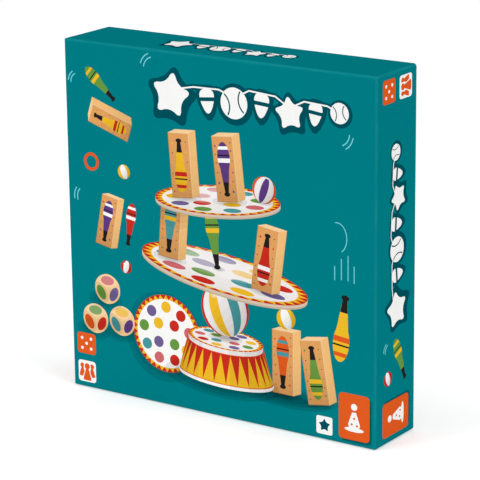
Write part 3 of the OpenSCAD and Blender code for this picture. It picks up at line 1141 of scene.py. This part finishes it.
# %% [markdown]
# A box on a shelf shows one of its sides, so each has the garland again. On the two upright sides it runs
# upwards, with a club, a ball and three badges. The top and the bottom only have the garland. Each could
# have its own design, but two are enough, and each is pressed on two sides.

# %% The lid's sides
def long_side_art():
    """The print on an upright side, read from below as it is on a shelf."""
    art = put(garland(), 1.5, 14, 90, wide=0.8)
    art += put(club("green", "yellow"), 14, -92, 24, wide=36) + put(ticks(6), -8, -66, 150)
    art += put(ball(RED_BALL, 20), -10, -86, wide=5.5)
    art += put(pips_badge(17, 16.6), -10.6, 121.8, 90) + put(pawns_badge(16.6, 17), 11.8, 121.8, 90)
    return art + put(hat_badge(26, 36), 0.8, -116.6, 90)


def short_side_art():
    """The print on the top and bottom sides."""
    return put(garland(), -6, -1, wide=0.66)


SIDES = {
    "right_print": ((0, 1, 0), (0, 0, 1), long_side_art),
    "left_print": ((0, -1, 0), (0, 0, 1), long_side_art),
    "top_print": ((1, 0, 0), (0, 1, 0), short_side_art),
    "bottom_print": ((1, 0, 0), (0, -1, 0), short_side_art),
}
for name, (right, up, side_art) in SIDES.items():
    press(name, "lid", "printed_wrap", (sheet_on("lid_wrap", right, up), side_art()))
print("printed", len(SIDES), "sides of the lid")

# %% [markdown]
# The back of the box is the bottom of the base. It shows what is in the box: the three boards, the six
# kinds of block and the three dice, above a band of the boards' teeth. All of these are drawn above
# already, so they only have to be set in rows.

# %% The base's panel
BAND_W = 258
BAND_Y = -127
BAND_TEETH = 30
TALL_TOOTH = 15
SHORT_TOOTH = 8


def teeth_band():
    """A row of yellow teeth with a smaller red one on each."""
    art = []
    pitch = BAND_W / BAND_TEETH
    for i in range(BAND_TEETH):
        x = -BAND_W / 2 + pitch * i
        for ink, tooth in (("yellow", TALL_TOOTH), ("red", SHORT_TOOTH)):
            art.append((ink, [(x, BAND_Y), (x + pitch, BAND_Y), (x + pitch / 2, BAND_Y + tooth)]))
    return art


def back_art():
    """All the game's pieces in rows, with a star at each end of the last one."""
    art = []
    for i, (x, y) in enumerate(((-72, 62), (0, 74), (72, 62))):
        art += put(board_art(2 * i), x, y, wide=38)
    for i in range(len(OUTFITS)):
        art += standing(i, -108 + 36 * i, -34, 0, i % 2 == 1)
    for inks, x in zip(DRAWN_DICE, (-34, 0, 34)):
        art += put(drawn_die(*inks), x, -68)
    return art + teeth_band() + put(white_star(10), -96, -78) + put(white_star(10), 96, -78)


rear = sheet_on("base_wrap", (-1, 0, 0), (0, 0, 1))
piece = press("back_print", "base", "printed_wrap", (rear, back_art()))
print("back print:", len(piece.data.polygons), "triangles")

# %% [markdown]
# Each board is a greyboard core with a printed sheet on each side. The printing stops just short of the cut
# edge, because a knife never follows the print exactly. Each board starts its colours at another ink.

# %% Board prints
PRINT_MARGIN = 0.3

boards = sorted(name for name in frame["bodies"] if name.startswith("board_"))
for i, board in enumerate(boards, start=1):
    low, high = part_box(f"{board}_face")
    radius = (high.x - low.x) / 2 / MM - PRINT_MARGIN
    design = put(board_art(2 * i), wide=radius)
    for side, right in (("face", (1, 0, 0)), ("back", (-1, 0, 0))):
        sheet = sheet_on(f"{board}_{side}", right, (0, 0, 1))
        press(f"{board}_{side}_print", board, "printed_sheet", (sheet, design))
print("printed", len(boards), "boards on both sides")

# %% [markdown]
# The blocks are printed on both wide sides, with the clubs in six outfits. Every second club is upside
# down, since a block may stand either way up.

# %% Block prints
blocks = sorted(name for name in frame["bodies"] if name.startswith("block_"))
for i, block in enumerate(blocks):
    design = block_art(i, i % 2 == 1)
    wide_sides = [(sheet_on(block, (x, 0, 0), (0, 0, 1)), design) for x in (1, -1)]
    press(f"{block}_print", block, "block_wood", *wide_sides)
print("printed", len(blocks), "blocks")

# %% [markdown]
# A die has a large spot in one of six inks on each side. The six sides are six pairs of directions, across
# and up. Each die starts at another ink, so the three show different spots when they lie side by side.

# %% Dice spots
DIE_SIDES = (((1, 0, 0), (0, 0, 1)), ((-1, 0, 0), (0, 0, 1)), ((0, 1, 0), (0, 0, 1)),
             ((0, -1, 0), (0, 0, 1)), ((1, 0, 0), (0, 1, 0)), ((1, 0, 0), (0, -1, 0)))
DIE_INKS = ("plum", "red", "orange", "green", "sky", "yellow")
DIE_SPOT_R = 7.6

dice = sorted(name for name in frame["bodies"] if name.startswith("die_"))
for i, die in enumerate(dice, start=1):
    spots = []
    for k, (right, up) in enumerate(DIE_SIDES):
        ink = DIE_INKS[(k + 2 * i) % len(DIE_INKS)]
        spots.append((sheet_on(die, right, up), [(ink, circle(0, 0, DIE_SPOT_R, 48))]))
    press(f"{die}_spots", die, "die_wood", *spots)
print("spotted", len(dice), "dice")

# %% [markdown]
# The booklet's cover repeats the box in small: the garland, a board, three blocks and two badges. Its back
# has a ring of clubs and stars. Both lie on the same folded sheet, so they are printed as one piece.

# %% Rule booklet
def rules_art():
    art = put(garland(), -3, 68, wide=0.74)
    art += put(board_art(1), 0, -6, wide=46)
    for x, outfit, turn in ((-34, 1, 6), (-9, 2, 0), (16, 4, -6)):
        art += standing(outfit, x, -30, turn)
    return art + put(pips_badge(15, 15), -56, -88) + put(pawns_badge(15, 15), 56, -88)


def rules_back_art():
    """A ring of stars and clubs on the booklet's back."""
    rise = 8
    art = put(white_star(9), 0, -88)
    for i, (body, trim) in enumerate(OUTFITS):
        x, y = on_circle(34, 90 + 60 * i)
        art += put(club(body, trim), x, y + rise, 60 * i, wide=40)
        art += put(white_star(4), 0.4 * x, 0.4 * y + rise)
    return art


cover = sheet_on("rules_cover", (1, 0, 0), (0, 0, 1))
cover_back = sheet_on("rules_cover", (-1, 0, 0), (0, 0, 1))
booklet = ((cover, rules_art()), (cover_back, rules_back_art()))
piece = press("rules_cover_print", "rules", "printed_sheet", *booklet)
print("booklet print:", len(piece.data.polygons), "triangles")
